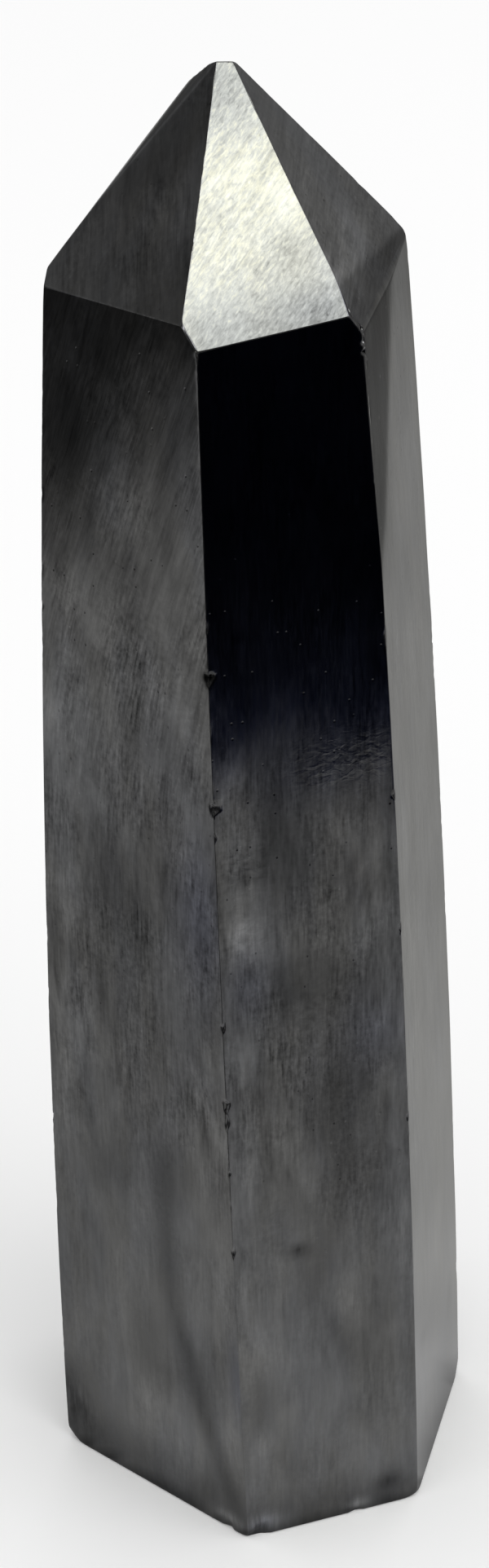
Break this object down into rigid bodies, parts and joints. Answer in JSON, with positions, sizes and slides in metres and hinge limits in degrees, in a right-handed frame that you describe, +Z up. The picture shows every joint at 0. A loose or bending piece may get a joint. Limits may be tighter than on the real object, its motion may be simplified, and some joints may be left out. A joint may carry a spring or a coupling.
{
  "type": "hematite tower",
  "caption": "Polished hematite tower: a tapering hexagonal column, slightly bowed, with a faceted point and a flat ground base to stand on.",
  "frame": {"origin": "middle of the flat base, at the centre of the tower's outline box", "axes": "+Z up along the tower towards its point, -Y out of the front side"},
  "size_m": [0.027, 0.024, 0.0969],
  "materials": {
    "hematite": "polished, metallic steel grey with fine lapping lines and faint cloudy mottling"
  },
  "bodies": {
    "root": {"tower": "hematite"}
  },
  "joints": []
}
